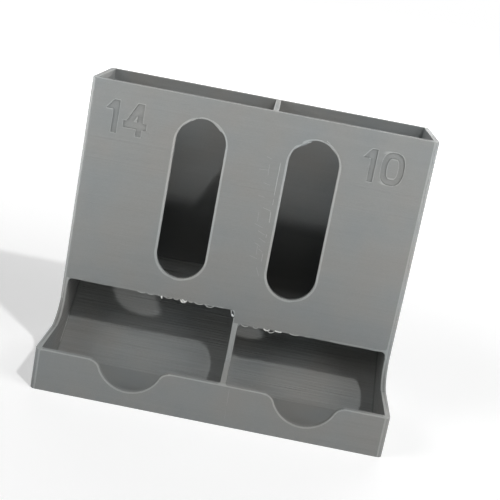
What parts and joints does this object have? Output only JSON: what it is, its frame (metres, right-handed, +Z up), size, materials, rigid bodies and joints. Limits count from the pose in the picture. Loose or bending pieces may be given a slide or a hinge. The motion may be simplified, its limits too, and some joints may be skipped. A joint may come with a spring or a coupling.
{
  "type": "battery_dispenser",
  "caption": "Upright gravity dispenser for household battery cells, with open-topped columns, level windows, curved ramps and a low front tray with finger scoops",
  "frame": {"origin": "middle of the footprint, on the underside of the base plate", "axes": "X runs along the front from the larger cells' column to the smaller cells' column, Y from the tray's lip to the back wall, Z up"},
  "size_m": [0.1028, 0.0516, 0.0886],
  "materials": {
    "grey_plastic": "printed in layers, matte"
  },
  "bodies": {
    "root": {"base_plate": "grey_plastic", "back_wall": "grey_plastic", "left_side_wall": "grey_plastic", "right_side_wall": "grey_plastic", "column_divider": "grey_plastic", "aa_front_panel": "grey_plastic", "aaa_front_panel": "grey_plastic", "aa_tray_lip": "grey_plastic", "aaa_tray_lip": "grey_plastic", "aa_ramp": "grey_plastic", "aaa_ramp": "grey_plastic"}
  },
  "joints": []
}
